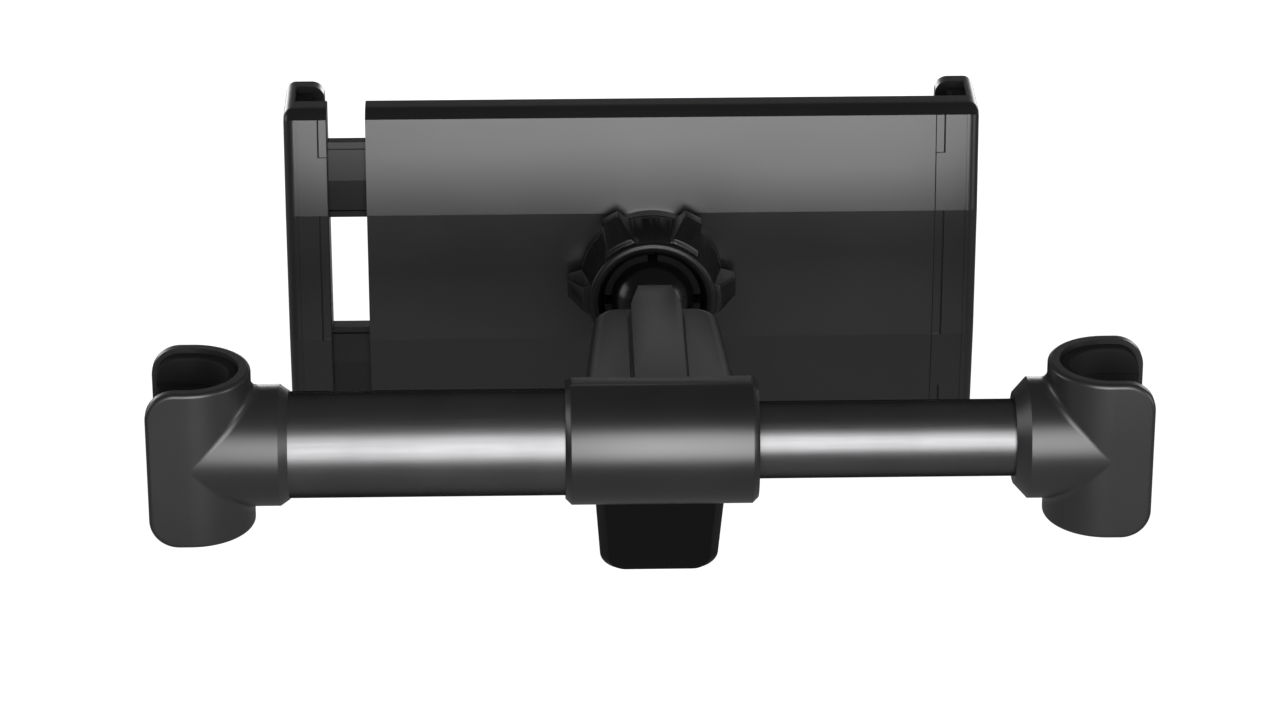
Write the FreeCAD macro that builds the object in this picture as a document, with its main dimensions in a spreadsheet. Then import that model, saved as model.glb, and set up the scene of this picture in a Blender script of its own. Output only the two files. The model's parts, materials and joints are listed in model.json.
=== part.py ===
import FreeCAD, Part
import os
import re

import Sketcher

# Headrest tablet mount, in millimetres.
# The origin is on the axis of the left headrest post, at the height of the rod.
# +X runs along the rod to the right post, +Y points to the tablet, +Z is up.

SIZES = [
    # telescopic rod
    ("outer_tube_diameter", 20.0),
    ("outer_tube_wall", 1.5),
    ("inner_tube_diameter", 14.5),
    ("inner_tube_wall", 1.2),
    ("inner_tube_overlap", 29.0),
    ("post_spacing", 170.8),
    ("fit_gap", 0.05),
    ("free_gap", 0.35),
    ("bush_length", 20.0),
    ("bush_flange", 1.5),
    ("stop_ring_length", 6.0),
    # hooks round the headrest posts
    ("post_diameter", 14.0),
    ("liner_thickness", 2.2),
    ("liner_recess", 1.0),
    ("hook_wall", 2.2),
    ("hook_height", 31.6),
    ("hook_reach", 7.7),
    ("hook_corner", 5.5),
    ("hook_edge_round", 0.8),
    ("crease_round", 1.6),
    ("liner_edge_round", 0.6),
    ("left_socket_length", 18.2),
    ("left_socket_bevel", 1.7),
    ("left_socket_bevel_depth", 1.2),
    ("right_socket_length", 17.4),
    ("right_socket_bevel", 2.5),
    ("right_socket_bevel_depth", 2.7),
    ("tube_screw_diameter", 2.5),
    ("screw_head_diameter", 4.0),
    ("screw_head_height", 1.1),
    ("screw_socket_width", 2.0),
    ("screw_socket_floor", 0.3),
    # collar and arm
    ("collar_offset", 87.6),
    ("collar_length", 36.0),
    ("collar_diameter", 23.6),
    ("collar_bevel", 1.1),
    ("collar_ridge_depth", 3.6),
    ("collar_ridge_height", 11.6),
    ("collar_ridge_slope", 0.15),
    ("collar_ridge_bevel", 1.4),
    ("collar_back", 13.0),
    ("collar_back_height", 6.0),
    ("collar_end_wall", 6.0),
    ("arm_end", 44.0),
    ("arm_root_width", 29.6),
    ("arm_tip_width", 23.8),
    ("arm_top", 8.0),
    ("arm_bottom", 6.5),
    ("arm_tip_corner", 5.5),
    ("arm_edge_round", 2.4),
    ("rib_width", 9.7),
    ("rib_tip_width", 6.6),
    ("rib_root_height", 11.5),
    ("rib_tip_height", 11.0),
    ("rib_taper_start", 38.0),
    ("rib_end", 46.7),
    ("rib_skirt", 1.3),
    ("stud_boss_wall", 1.6),
    # length lock
    ("lever_pin_distance", 15.0),
    ("brake_angle", 36.87),
    ("lever_pin_diameter", 3.0),
    ("lever_pin_length", 35.0),
    ("lug_radius", 4.0),
    ("cam_radius", 4.0),
    ("cam_offset", 1.0),
    ("cam_phase", 56.4),
    ("cam_lead", 50.0),
    ("lever_angle", 20.5),
    ("lever_length", 25.0),
    ("lever_width", 25.2),
    ("lever_tip_width", 22.2),
    ("lever_thickness", 5.0),
    ("lever_corner", 5.0),
    ("lever_bevel", 1.7),
    ("brake_length", 10.0),
    ("brake_width", 6.0),
    ("brake_gap", 0.08),
    ("brake_grip_share", 0.8),
    # ball joint
    ("ball_centre_y", 66.5),
    ("ball_diameter", 17.0),
    ("stud_neck_diameter", 8.4),
    ("stud_bore_depth", 14.0),
    ("seat_thickness", 0.95),
    ("seat_half_angle", 50.0),
    ("cup_radius", 10.9),
    ("cup_tip_radius", 9.6),
    ("cup_tip_ahead", 2.0),
    ("cup_cone_end", 2.1),
    ("cup_slot_width", 2.0),
    ("cup_slot_end", 5.0),
    ("cup_flange_width", 32.0),
    ("cup_flange_height", 23.4),
    ("cup_flange_thickness", 1.6),
    ("cup_grip_start", 1.0),
    ("thread_gap", 0.1),
    ("nut_front", 3.7),
    ("nut_mouth_radius", 10.2),
    ("nut_rim_radius", 12.7),
    ("nut_rim_width", 1.2),
    ("nut_rim_bevel", 0.4),
    ("nut_rim_depth", 1.3),
    ("nut_mouth_gap", 0.2),
    ("nut_shoulder_drop", 0.9),
    ("nut_shoulder_depth", 1.0),
    ("nut_lobe_run", 3.0),
    ("nut_lobe_tip_bevel", 0.4),
    ("nut_lobe_front_drop", 2.2),
    ("nut_lobe_edge_drop", 3.4),
    ("nut_root_inset", 1.2),
    ("nut_back_radius", 14.2),
    ("nut_lobe_radius", 16.8),
    ("nut_lobe_start", 0.8),
    ("nut_lobe_root_width", 6.6),
    ("nut_lobe_tip_width", 3.8),
    ("nut_back_gap", 0.3),
    ("boss_radius", 14.3),
    ("boss_height", 2.4),
    # cradle, with depths taken from the ball's centre
    ("cradle_width", 113.6),
    ("cradle_height", 70.0),
    ("cradle_back_depth", 9.5),
    ("cradle_front_depth", 18.0),
    ("middle_facet_height", 27.3),
    ("side_facet_rise", 2.2),
    ("facet_end_height", 66.8),
    ("roof_start_depth", 13.6),
    ("roof_round", 3.0),
    ("facet_wall_share", 0.75),
    ("roof_wall_share", 0.4),
    ("cradle_wall", 1.8),
    ("end_wall", 1.8),
    ("front_plate_thickness", 2.1),
    ("post_height", 8.0),
    ("post_spread", 49.0),
    ("post_radius", 2.9),
    ("plate_screw_diameter", 2.6),
    ("plate_head_diameter", 4.6),
    ("plate_head_height", 0.9),
    ("plate_screw_setback", 1.0),
    ("pad_width", 104.0),
    ("pad_height", 60.0),
    ("pad_thickness", 1.2),
    ("pad_proud", 0.5),
    ("pad_corner", 5.0),
    # sliding jaws
    ("jaw_width", 8.7),
    ("jaw_side_wall", 2.2),
    ("jaw_reach", 28.7),
    ("jaw_outer_round", 2.0),
    ("lip_thickness", 2.8),
    ("lip_setback", 0.9),
    ("lip_corner", 2.6),
    ("left_jaw_opening", 7.6),
    ("notch_width", 2.0),
    ("notch_depth", 0.45),
    ("notch_start", 25.6),
    ("notch_margin", 1.0),
    ("panel_line_offset", 2.4),
    ("panel_line_width", 0.35),
    ("rail_low", 12.1),
    ("rail_high", 28.0),
    ("rail_step", 20.0),
    ("rail_lean", 0.6),
    ("rail_depth", 12.6),
    ("rail_thickness", 3.0),
    ("rail_gap", 0.25),
    ("rail_inner_end", 2.0),
    ("rail_link_width", 4.0),
    ("rail_link_thickness", 1.5),
    ("rail_link_overlap", 0.5),
    ("rail_line_inset", 1.4),
    ("rail_line_width", 0.3),
    ("groove_width", 3.0),
    ("groove_depth", 2.3),
    ("spring_diameter", 2.0),
    ("spring_bore", 1.2),
    ("spring_rest_gap", 0.15),
    ("spring_post_inset", 14.2),
    ("jaw_pad_thickness", 1.2),
    ("jaw_pad_lip_thickness", 3.6),
    ("jaw_pad_height", 67.0),
]

NUT_LOBES = 6

doc = FreeCAD.newDocument("HeadrestTabletMount")
sheet = doc.addObject("Spreadsheet::Sheet", "sizes")
for row, (alias, size) in enumerate(SIZES, 1):
    sheet.set(f"A{row}", alias)
    sheet.set(f"B{row}", str(size))
    sheet.setAlias(f"B{row}", alias)
doc.recompute()

# Sizes that follow from the driving ones, as expressions
SEAT_RADIUS = "(post_diameter / 2)"
SHELL_RADIUS = "(post_diameter / 2 + liner_thickness)"
HOOK_RADIUS = "(post_diameter / 2 + liner_thickness + hook_wall)"
OUTER_BORE = "(outer_tube_diameter / 2 - outer_tube_wall)"
INNER_RADIUS = "(inner_tube_diameter / 2)"
OUTER_TUBE_END = "(collar_offset + collar_length / 2 - collar_end_wall)"
INNER_TUBE_START = "(collar_offset - inner_tube_overlap)"
PIN_Y = "(lever_pin_distance * sin(brake_angle))"
PIN_Z = "(-lever_pin_distance * cos(brake_angle))"
CAM_REACH = "(lever_pin_distance - cam_radius - cam_offset * cos(cam_lead) - brake_gap)"
BALL_RADIUS = "(ball_diameter / 2)"
GRIP_RADIUS = "(ball_diameter / 2 + fit_gap)"
CUP_BORE = "(ball_diameter / 2 + fit_gap * 2 + seat_thickness)"
CUP_SEAT_DEPTH = "(cradle_back_depth + cradle_wall)"
NUT_BACK = "(cradle_back_depth - boss_height - nut_back_gap)"
HALF_WIDTH = "(cradle_width / 2)"
JAW_OUTER = "(cradle_width / 2 + jaw_width)"
HALF_HEIGHT = "(cradle_height / 2)"
PLATE_DEPTH = "(cradle_front_depth - front_plate_thickness)"
PAD_FLOOR = "(cradle_front_depth - pad_thickness + pad_proud)"
RAIL_FRONT = "(rail_depth + rail_thickness)"
GROOVE_CENTRE = "((rail_low + rail_high) / 2)"


def full(text):
    """An expression with the sheet's name before each of its sizes."""
    return re.sub(r"[a-z]+(?:_[a-z]+)+", lambda word: "sizes." + word.group(0), text)


def number(text):
    """The present value of an expression."""
    return float(sheet.evalExpression(full(text)))


def bind(item, **expressions):
    for name, text in expressions.items():
        item.setExpression(name, full(text))


def place(item, x="0", y="0", z="0", axis=(0, 0, 1), angle="0"):
    """Put an item at a point that follows the sheet, turned about an axis."""
    turn = FreeCAD.Rotation(FreeCAD.Vector(*axis), number(angle))
    item.Placement = FreeCAD.Placement(FreeCAD.Vector(0, 0, 0), turn)
    for path, text in (("Base.x", x), ("Base.y", y), ("Base.z", z)):
        item.setExpression("Placement." + path, full(text))
    if angle != "0":
        item.setExpression("Placement.Rotation.Angle", full(angle))
    return item


# Part primitives

AXES = {"X": ((0, 1, 0), "90"), "Y": ((1, 0, 0), "-90"), "Z": ((0, 0, 1), "0")}


def cylinder(name, radius, length, x="0", y="0", z="0", along="Z"):
    item = doc.addObject("Part::Cylinder", name)
    bind(item, Radius=radius, Height=length)
    axis, angle = AXES[along]
    return place(item, x, y, z, axis, angle)


def block(name, low, high):
    """A box between two corners."""
    item = doc.addObject("Part::Box", name)
    spans = [f"({b}) - ({a})" for a, b in zip(low, high)]
    bind(item, Length=spans[0], Width=spans[1], Height=spans[2])
    return place(item, *low)


def ball(name, radius, x="0", y="0", z="0"):
    item = doc.addObject("Part::Sphere", name)
    bind(item, Radius=radius)
    return place(item, x, y, z)


def join(name, *items):
    result = doc.addObject("Part::MultiFuse", name)
    result.Shapes = list(items)
    result.Refine = True
    return result


def cut(name, base, *tools):
    result = doc.addObject("Part::Cut", name)
    result.Base = base
    result.Tool = tools[0] if len(tools) == 1 else join(name + "_tools", *tools)
    return result


def shared(name, first, second):
    result = doc.addObject("Part::Common", name)
    result.Base = first
    result.Tool = second
    return result


# PartDesign features

def new_body(label):
    return doc.addObject("PartDesign::Body", label)


def sketch_on(body, name, role, offset="0"):
    """A sketch on one of the body's own origin planes, moved along the plane's normal."""
    plane = [item for item in body.Origin.OriginFeatures if item.Role == role][0]
    sketch = body.newObject("Sketcher::SketchObject", name)
    sketch.AttachmentSupport = [(plane, "")]
    sketch.MapMode = "FlatFace"
    sketch.setExpression("AttachmentOffset.Base.z", full(offset))
    return sketch


def pin_point(sketch, item, point, x, y):
    """Tie one point of the sketch's geometry to its two coordinates."""
    for kind, text, axis in (("DistanceX", x, -2), ("DistanceY", y, -1)):
        if text == "0":
            sketch.addConstraint(Sketcher.Constraint("PointOnObject", item, point, axis))
        else:
            rule = sketch.addConstraint(Sketcher.Constraint(kind, -1, 1, item, point, number(text)))
            sketch.setExpression(f"Constraints[{rule}]", full(text))


def polygon(sketch, points):
    corners = [FreeCAD.Vector(number(x), number(y), 0) for x, y in points]
    first = sketch.GeometryCount
    count = len(points)
    for index in range(count):
        sketch.addGeometry(Part.LineSegment(corners[index], corners[(index + 1) % count]))
    for index in range(count):
        following = first + (index + 1) % count
        sketch.addConstraint(Sketcher.Constraint("Coincident", first + index, 2, following, 1))
    for index, (x, y) in enumerate(points):
        pin_point(sketch, first + index, 1, x, y)
    return sketch


def circle(sketch, radius, x="0", y="0"):
    centre = FreeCAD.Vector(number(x), number(y), 0)
    item = sketch.addGeometry(Part.Circle(centre, FreeCAD.Vector(0, 0, 1), number(radius)))
    pin_point(sketch, item, 3, x, y)
    rule = sketch.addConstraint(Sketcher.Constraint("Radius", item, number(radius)))
    sketch.setExpression(f"Constraints[{rule}]", full(radius))
    return sketch


def rectangle(sketch, low, high):
    return polygon(sketch, [low, (high[0], low[1]), high, (low[0], high[1])])


def pad(body, sketch, length):
    feature = body.newObject("PartDesign::Pad", sketch.Name + "_pad")
    feature.Profile = sketch
    bind(feature, Length=length)
    return checked(body, feature, 1)


def pocket(body, sketch, length, forward=True):
    """A cut from the sketch, along its normal or against it."""
    feature = body.newObject("PartDesign::Pocket", sketch.Name + "_pocket")
    feature.Profile = sketch
    feature.Reversed = forward
    bind(feature, Length=length)
    return checked(body, feature, -1)


def revolve(body, sketch, axis, kind="Revolution"):
    feature = body.newObject("PartDesign::" + kind, sketch.Name + "_turned")
    feature.Profile = sketch
    feature.ReferenceAxis = (sketch, [axis])
    feature.Angle = 360
    return checked(body, feature, -1 if kind == "Groove" else 1)


def polar(body, feature, axis_sketch, axis, count):
    pattern = body.newObject("PartDesign::PolarPattern", feature.Name + "_round")
    pattern.Originals = [feature]
    pattern.Axis = (axis_sketch, [axis])
    pattern.Angle = 360
    pattern.Occurrences = count
    body.Tip = pattern
    doc.recompute()
    VOLUMES[body.Name] = pattern.Shape.Volume
    return pattern


VOLUMES = {}


def checked(body, feature, direction):
    """Recompute, and make sure that the feature really added or took away material."""
    doc.recompute()
    volume = feature.Shape.Volume
    before = VOLUMES.get(body.Name, 0.0)
    if (volume - before) * direction <= 1e-6:
        raise RuntimeError(f"{feature.Name} changed nothing")
    VOLUMES[body.Name] = volume
    return feature


def edges_where(shape, test):
    return [f"Edge{index}" for index, edge in enumerate(shape.Edges, 1) if test(edge)]


def round_edges(body, radius, test, name):
    """Round the edges of the body that pass the test."""
    doc.recompute()
    tip = body.Tip
    feature = body.newObject("PartDesign::Fillet", name)
    feature.Base = (tip, edges_where(tip.Shape, test))
    bind(feature, Radius=radius)
    doc.recompute()
    VOLUMES[body.Name] = feature.Shape.Volume
    return feature


def bevel_edges(body, size, test, name):
    doc.recompute()
    tip = body.Tip
    feature = body.newObject("PartDesign::Chamfer", name)
    feature.Base = (tip, edges_where(tip.Shape, test))
    bind(feature, Size=size)
    doc.recompute()
    VOLUMES[body.Name] = feature.Shape.Volume
    return feature


NEAR = 0.01


def straight_along(edge, direction):
    """True for a straight edge that runs along X, Y or Z."""
    if edge.Curve.TypeId != "Part::GeomLine":
        return False
    start = edge.Vertexes[0].Point
    end = edge.Vertexes[-1].Point
    run = (end - start).normalize()
    return abs(abs(run.dot(FreeCAD.Vector(*direction))) - 1) < 1e-6


def middle(edge):
    return edge.BoundBox.Center


def near(value, text):
    return abs(value - number(text)) < NEAR


ALONG_X, ALONG_Y, ALONG_Z = (1, 0, 0), (0, 1, 0), (0, 0, 1)

PARTS = []


def finish(item, label, x="0", y="0", z="0", axis=(0, 0, 1), angle="0"):
    """Name a finished sub-part, place it and put it on the list."""
    item.Label = label
    place(item, x, y, z, axis, angle)
    PARTS.append(item)
    return item


# Hooks: a half ring with two flat cheeks, open outward, and a round socket for the rod

def on_rim(edge, radius, height):
    """True for the edges round a hook's end faces and round the outlines of its cheeks."""
    spot = middle(edge)
    seam = straight_along(edge, ALONG_Z) and abs(spot.x) < NEAR
    on_cheek = near(abs(spot.y), radius) and edge.BoundBox.YLength < NEAR
    round_end = edge.Curve.TypeId == "Part::GeomCircle" and near(edge.Curve.Radius, radius) \
        and near(abs(spot.z), height)
    return (on_cheek and not seam) or round_end


def hook(side, tube_radius, socket_length, bevel, bevel_depth):
    body = new_body(side + "_hook_body")
    bottom = "-hook_height / 2"
    pad(body, circle(sketch_on(body, side + "_ring", "XY_Plane", bottom), HOOK_RADIUS), "hook_height")
    open_half = sketch_on(body, side + "_open_half", "XY_Plane", bottom)
    rectangle(open_half, (f"-2 * {HOOK_RADIUS}", f"-2 * {HOOK_RADIUS}"), ("0", f"2 * {HOOK_RADIUS}"))
    pocket(body, open_half, "hook_height")
    cheeks = sketch_on(body, side + "_cheeks", "XY_Plane", bottom)
    rectangle(cheeks, ("-hook_reach", f"-{HOOK_RADIUS}"), ("0", HOOK_RADIUS))
    pad(body, cheeks, "hook_height")
    round_edges(body, "hook_corner", lambda edge: straight_along(edge, ALONG_Y)
                and near(middle(edge).x, "-hook_reach"), side + "_corner_rounds")
    round_edges(body, "hook_edge_round", lambda edge: on_rim(edge, HOOK_RADIUS, "hook_height / 2"),
                side + "_rim_rounds")
    profile = sketch_on(body, side + "_socket", "XZ_Plane")
    edge_radius = f"({HOOK_RADIUS} - {bevel_depth})"
    polygon(profile, [("0", "0"), (socket_length, "0"), (socket_length, edge_radius),
                      (f"{socket_length} - {bevel}", HOOK_RADIUS), ("0", HOOK_RADIUS)])
    revolve(body, profile, "H_Axis")
    round_edges(body, "crease_round", lambda edge: edge.Curve.TypeId == "Part::GeomEllipse",
                side + "_crease_rounds")
    pocket(body, circle(sketch_on(body, side + "_bore", "YZ_Plane", HOOK_RADIUS), tube_radius),
           f"{socket_length} - {HOOK_RADIUS}")
    pocket(body, circle(sketch_on(body, side + "_seat", "XY_Plane", bottom), SHELL_RADIUS),
           "hook_height")
    mouth = sketch_on(body, side + "_mouth", "XY_Plane", bottom)
    rectangle(mouth, (f"-{HOOK_RADIUS}", f"-{SHELL_RADIUS}"), ("0", SHELL_RADIUS))
    pocket(body, mouth, "hook_height")
    screw_x = f"(({HOOK_RADIUS} + {socket_length} - {bevel}) / 2)"
    hole = sketch_on(body, side + "_screw_hole", "XZ_Plane")
    circle(hole, "tube_screw_diameter / 2", screw_x, "0")
    pocket(body, hole, f"2 * {HOOK_RADIUS}", forward=False)
    seat = sketch_on(body, side + "_screw_seat", "XZ_Plane", f"-({HOOK_RADIUS} - screw_head_height)")
    circle(seat, "screw_head_diameter / 2", screw_x, "0")
    pocket(body, seat, f"2 * {HOOK_RADIUS}", forward=False)
    return body


def hook_pad(side):
    """The rubber liner of a hook, a little shorter than its shell."""
    body = new_body(side + "_pad_body")
    bottom = "-hook_height / 2 + liner_recess"
    height = "hook_height - 2 * liner_recess"
    reach = "-(hook_reach - liner_recess)"
    pad(body, circle(sketch_on(body, side + "_pad_ring", "XY_Plane", bottom), SHELL_RADIUS), height)
    open_half = sketch_on(body, side + "_pad_open_half", "XY_Plane", bottom)
    rectangle(open_half, (f"-2 * {SHELL_RADIUS}", f"-2 * {SHELL_RADIUS}"), ("0", f"2 * {SHELL_RADIUS}"))
    pocket(body, open_half, height)
    cheeks = sketch_on(body, side + "_pad_cheeks", "XY_Plane", bottom)
    rectangle(cheeks, (reach, f"-{SHELL_RADIUS}"), ("0", SHELL_RADIUS))
    pad(body, cheeks, height)
    round_edges(body, "hook_corner - liner_recess", lambda edge: straight_along(edge, ALONG_Y)
                and near(middle(edge).x, reach), side + "_pad_rounds")
    seat = circle(sketch_on(body, side + "_pad_seat", "XY_Plane", bottom), SEAT_RADIUS)
    pocket(body, seat, height)
    mouth = sketch_on(body, side + "_pad_mouth", "XY_Plane", bottom)
    rectangle(mouth, (f"-{SHELL_RADIUS}", f"-{SEAT_RADIUS}"), ("0", SEAT_RADIUS))
    pocket(body, mouth, height)
    round_edges(body, "liner_edge_round", lambda edge: on_rim(edge, SEAT_RADIUS, f"({height}) / 2"),
                side + "_pad_rim_rounds")
    return body


def tube_screw(side, tube_radius, tube_wall):
    """A socket-head screw that holds a tube in its hook, entered from the back."""
    name = side + "_screw"
    start = f"({tube_radius} - {tube_wall})"
    head = f"({HOOK_RADIUS} - screw_head_height)"
    shank = cylinder(name + "_shank", "tube_screw_diameter / 2", f"{head} - {start}", y=start, along="Y")
    top = cylinder(name + "_head", "screw_head_diameter / 2", "screw_head_height - free_gap", y=head,
                   along="Y")
    recess = doc.addObject("Part::Prism", name + "_recess")
    recess.Polygon = 6
    bind(recess, Circumradius="screw_socket_width / 2", Height="screw_head_height")
    place(recess, "0", f"{head} + screw_socket_floor", "0", ALONG_X, "-90")
    return cut(name, join(name + "_solid", shank, top), recess)


# Tubes, with the window that the brake shoe reaches through

def brake_window(name, clearance):
    """A box through the lower back wall of the rod, tilted to the brake's line."""
    item = doc.addObject("Part::Box", name)
    bind(item, Length=f"brake_length + 2 * {clearance}", Width=f"brake_width + 2 * {clearance}",
         Height="outer_tube_diameter")
    turn = FreeCAD.Rotation(FreeCAD.Vector(*ALONG_X), number("brake_angle"))
    item.Placement = FreeCAD.Placement(FreeCAD.Vector(0, 0, 0), turn)
    half = f"(brake_width / 2 + {clearance})"
    item.setExpression("Placement.Rotation.Angle", full("brake_angle"))
    item.setExpression("Placement.Base.x", full(f"collar_offset - brake_length / 2 - {clearance}"))
    item.setExpression("Placement.Base.y", full(
        f"-{half} * cos(brake_angle) + outer_tube_diameter * sin(brake_angle)"))
    item.setExpression("Placement.Base.z", full(
        f"-{half} * sin(brake_angle) - outer_tube_diameter * cos(brake_angle)"))
    return item


def outer_tube():
    start = HOOK_RADIUS
    length = f"{OUTER_TUBE_END} - bush_flange - {HOOK_RADIUS}"
    skin = cylinder("outer_tube_skin", "outer_tube_diameter / 2", length, x=start, along="X")
    bore = cylinder("outer_tube_bore", OUTER_BORE, length, x=start, along="X")
    screw = cylinder("outer_tube_screw_hole", "tube_screw_diameter / 2", "outer_tube_diameter",
                     x=f"(({HOOK_RADIUS} + left_socket_length - left_socket_bevel) / 2)", along="Y")
    return cut("outer_tube_cut", skin, bore, screw, brake_window("outer_tube_window", "free_gap"))


def guide_bush():
    """The plastic bush in the open end of the outer tube; the inner tube slides in it."""
    length = "bush_length"
    start = f"{OUTER_TUBE_END} - bush_length"
    sleeve = cylinder("bush_sleeve", OUTER_BORE, length, x=start, along="X")
    flange = cylinder("bush_flange_ring", "outer_tube_diameter / 2", "bush_flange",
                      x=f"{OUTER_TUBE_END} - bush_flange", along="X")
    bore = cylinder("bush_bore", f"{INNER_RADIUS} + fit_gap", length, x=start, along="X")
    return cut("bush_cut", join("bush_solid", sleeve, flange), bore,
               brake_window("bush_window", "free_gap"))


def inner_tube():
    start = INNER_TUBE_START
    length = f"post_spacing - {HOOK_RADIUS} - {INNER_TUBE_START}"
    skin = cylinder("inner_tube_skin", INNER_RADIUS, length, x=start, along="X")
    bore = cylinder("inner_tube_bore", f"{INNER_RADIUS} - inner_tube_wall", length, x=start, along="X")
    screw_x = f"(post_spacing - ({HOOK_RADIUS} + right_socket_length - right_socket_bevel) / 2)"
    screw = cylinder("inner_tube_screw_hole", "tube_screw_diameter / 2", "inner_tube_diameter",
                     x=screw_x, along="Y")
    return cut("inner_tube_cut", skin, bore, screw)


def stop_ring():
    ring = cylinder("stop_ring_solid", f"{OUTER_BORE} - fit_gap", "stop_ring_length",
                    x=INNER_TUBE_START, along="X")
    bore = cylinder("stop_ring_bore", INNER_RADIUS, "stop_ring_length", x=INNER_TUBE_START, along="X")
    return cut("stop_ring_cut", ring, bore)


# Collar and arm, one moulding, built round the middle of the collar

def collar_arm():
    body = new_body("collar_arm_body")
    left = "-collar_length / 2"
    ring = sketch_on(body, "collar_ring", "YZ_Plane", left)
    circle(ring, "collar_diameter / 2")
    pad(body, ring, "collar_length")
    bevel_edges(body, "collar_bevel", lambda edge: edge.Curve.TypeId == "Part::GeomCircle",
                "collar_end_bevels")
    saddle = sketch_on(body, "collar_saddle", "YZ_Plane", left)
    polygon(saddle, [("0", "0"), ("0", "-collar_diameter / 2"), (PIN_Y, "-collar_diameter / 2"),
                     ("collar_back", PIN_Z), ("collar_back", "collar_back_height"),
                     ("2 * collar_ridge_depth", "arm_top"),
                     ("collar_ridge_depth", "collar_ridge_height"),
                     ("0", "collar_ridge_height + collar_ridge_slope")])
    pad(body, saddle, "collar_length")
    for name, sign in (("left", "-"), ("right", "")):
        corner = sketch_on(body, f"ridge_{name}_end", "XZ_Plane")
        top = "collar_diameter / 2"
        end = f"{sign}collar_length / 2"
        polygon(corner, [(f"{sign}(collar_length / 2 - collar_ridge_bevel)", top), (end, top),
                         (end, f"{top} - collar_ridge_bevel")])
        pocket(body, corner, "collar_back", forward=False)
    lugs = circle(sketch_on(body, "lever_lugs", "YZ_Plane", left), "lug_radius", PIN_Y, PIN_Z)
    pad(body, lugs, "collar_length")
    shoulders = sketch_on(body, "arm_shoulders", "XY_Plane", "-arm_bottom")
    polygon(shoulders, [("-arm_root_width / 2", "collar_ridge_depth"),
                        ("arm_root_width / 2", "collar_ridge_depth"),
                        ("arm_tip_width / 2", "arm_end"), ("-arm_tip_width / 2", "arm_end")])
    pad(body, shoulders, "arm_bottom + arm_top")
    round_edges(body, "arm_tip_corner", lambda edge: straight_along(edge, ALONG_Z)
                and near(middle(edge).y, "arm_end"), "arm_corner_rounds")

    def long_edge(edge):
        spot = middle(edge)
        high = near(spot.z, "arm_top") or near(spot.z, "-arm_bottom")
        return high and spot.y > number("collar_back + 1") and edge.BoundBox.ZLength < NEAR

    round_edges(body, "arm_edge_round", long_edge, "arm_long_rounds")
    rib = sketch_on(body, "rib_plan", "XY_Plane", "0")
    polygon(rib, [("-rib_width / 2", "collar_ridge_depth / 2"), ("rib_width / 2", "collar_ridge_depth / 2"),
                  ("rib_width / 2", "rib_taper_start"), ("rib_tip_width / 2", "rib_end"),
                  ("-rib_tip_width / 2", "rib_end"), ("-rib_width / 2", "rib_taper_start")])
    pad(body, rib, "rib_root_height")
    skirt = sketch_on(body, "rib_skirts", "XZ_Plane", "-rib_taper_start")
    low, high = "arm_top - rib_skirt", "rib_tip_height - rib_skirt"
    polygon(skirt, [("-rib_width / 2 - rib_skirt", low), ("rib_width / 2 + rib_skirt", low),
                    ("rib_width / 2", high), ("-rib_width / 2", high)])
    pad(body, skirt, "rib_taper_start - collar_ridge_depth")
    slope = sketch_on(body, "rib_slope", "YZ_Plane", "-rib_width")
    polygon(slope, [("collar_ridge_depth / 2", "rib_root_height"), ("rib_end", "rib_tip_height"),
                    ("rib_end", "collar_diameter"), ("collar_ridge_depth / 2", "collar_diameter")])
    pocket(body, slope, "2 * rib_width")
    neck = sketch_on(body, "stud_boss", "XZ_Plane", "-rib_end")
    circle(neck, "stud_neck_diameter / 2 + stud_boss_wall")
    pad(body, neck, "rib_end - arm_end + stud_boss_wall")
    bore = circle(sketch_on(body, "tube_bore", "YZ_Plane", left), "outer_tube_diameter / 2")
    pocket(body, bore, "collar_length - collar_end_wall")
    exit_hole = sketch_on(body, "inner_tube_exit", "YZ_Plane", left)
    circle(exit_hole, f"{INNER_RADIUS} + free_gap")
    pocket(body, exit_hole, "collar_length")
    stud = sketch_on(body, "stud_bore", "XZ_Plane", "-rib_end")
    circle(stud, "stud_neck_diameter / 2 + fit_gap")
    pocket(body, stud, "stud_bore_depth + rib_end - arm_end", forward=True)
    return body


def collar_with_lever_slot():
    """The moulding with the slot that the lever's cam turns in, and the pin's bore."""
    body = collar_arm()
    half_slot = "(lever_width / 2 + free_gap)"
    room = "(cam_radius + cam_offset + free_gap)"
    pocket_round = cylinder("cam_pocket", room, f"2 * {half_slot}", x=f"-{half_slot}", y=PIN_Y, z=PIN_Z,
                            along="X")
    below = block("cam_slot", (f"-{half_slot}", f"{PIN_Y} - {room}", "-2 * collar_diameter"),
                  (half_slot, f"{PIN_Y} + {room}", PIN_Z))
    window = brake_window("collar_window", "free_gap")
    window.setExpression("Placement.Base.x", full("-brake_length / 2 - free_gap"))
    pin = cylinder("lever_pin_bore", "lever_pin_diameter / 2", "lever_pin_length",
                   x="-lever_pin_length / 2", y=PIN_Y, z=PIN_Z, along="X")
    return cut("collar_cut", body, pocket_round, below, window, pin)


# Length lock: a cam lever on a pin presses a shoe against the inner tube

def brake_shoe():
    """The shoe, built hanging straight below the tube and then turned to the brake's line."""
    body = block("shoe_body", ("-brake_length / 2", "-brake_width / 2", f"-{CAM_REACH}"),
                 ("brake_length / 2", "brake_width / 2", f"-{INNER_RADIUS} * brake_grip_share"))
    tube = cylinder("shoe_tube", f"{INNER_RADIUS} + fit_gap", "2 * brake_length", x="-brake_length",
                    along="X")
    return cut("shoe_cut", body, tube)


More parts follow.
